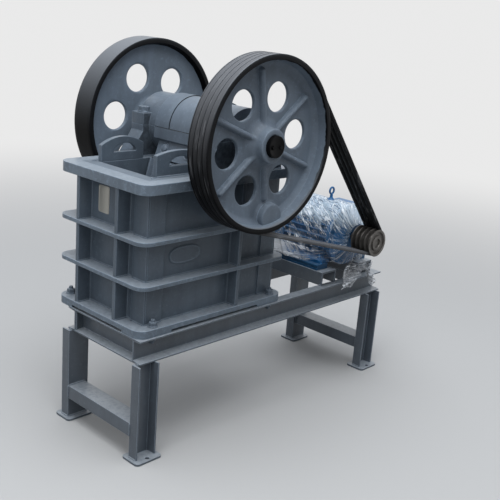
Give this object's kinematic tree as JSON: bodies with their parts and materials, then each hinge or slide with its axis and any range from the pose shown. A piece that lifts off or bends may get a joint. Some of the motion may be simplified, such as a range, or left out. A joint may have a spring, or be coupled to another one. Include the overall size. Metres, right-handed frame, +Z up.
{
  "type": "jaw crusher",
  "caption": "Jaw crusher with heavy flywheels on a welded channel stand, driven through V belts by a finned electric motor.",
  "frame": {"origin": "on the floor, midway along the whole machine and midway between the two flywheels", "axes": "+X from the feed end to the motor end, +Y away from the belt side, +Z up"},
  "size_m": [1.621, 0.885, 1.6175],
  "materials": {
    "stand_paint": "semi-gloss machine paint",
    "body_paint": "semi-gloss machine paint",
    "casting_paint": "machine paint over rough castings",
    "liner_steel": "rough as-cast manganese steel",
    "shaft_steel": "oiled dark steel",
    "belt_rubber": "dull black",
    "motor_paint": "blue enamel",
    "pulley_steel": "bare turned metal"
  },
  "bodies": {
    "frame": {"long_beam_near": "stand_paint", "long_beam_far": "stand_paint", "end_beam_front": "stand_paint", "end_beam_rear": "stand_paint", "leg_near_front": "stand_paint", "leg_far_front": "stand_paint", "leg_near_rear": "stand_paint", "leg_far_rear": "stand_paint", "brace_front": "stand_paint", "brace_rear": "stand_paint", "motor_beam_front": "stand_paint", "motor_beam_rear": "stand_paint", "base_flange": "body_paint", "rib_lower": "body_paint", "rib_upper": "body_paint", "top_flange": "body_paint", "front_wall": "body_paint", "rear_wall": "body_paint", "side_wall_near": "body_paint", "side_wall_far": "body_paint", "liner_near": "body_paint", "liner_far": "body_paint", "fixed_jaw_plate": "casting_paint", "guard_near": "body_paint", "guard_far": "body_paint", "bearing_seat_near": "casting_paint", "bearing_seat_far": "casting_paint", "bearing_cap_near": "casting_paint", "bearing_cap_far": "casting_paint", "tension_spring": "shaft_steel", "v_belts": "belt_rubber", "motor_rails": "motor_paint", "motor_body": "motor_paint", "fan_cover": "motor_paint"},
    "rotor": {"crankshaft": "shaft_steel", "flywheel_near": "casting_paint", "flywheel_far": "casting_paint"},
    "jaw": {"swing_jaw": "casting_paint", "swing_jaw_plate": "casting_paint", "toggle_plate": "liner_steel"},
    "motor_rotor": {"motor_pulley": "pulley_steel"}
  },
  "joints": [
    {"name": "shaft_spin", "type": "hinge", "parent": "frame", "child": "rotor", "pos_m": [-0.2525, 0, 1.26], "axis": [0, 1, 0], "continuous": true},
    {"name": "jaw_swing", "type": "hinge", "parent": "frame", "child": "jaw", "pos_m": [-0.2525, 0, 1.26], "axis": [0, 1, 0], "range_deg": [-0.4, 0.4]},
    {"name": "motor_spin", "type": "hinge", "parent": "frame", "child": "motor_rotor", "pos_m": [0.5565, 0, 0.7365], "axis": [0, 1, 0], "continuous": true}
  ],
  "couplings": [
    {"joint": "motor_spin", "follows": "shaft_spin", "ratio": 6}
  ]
}
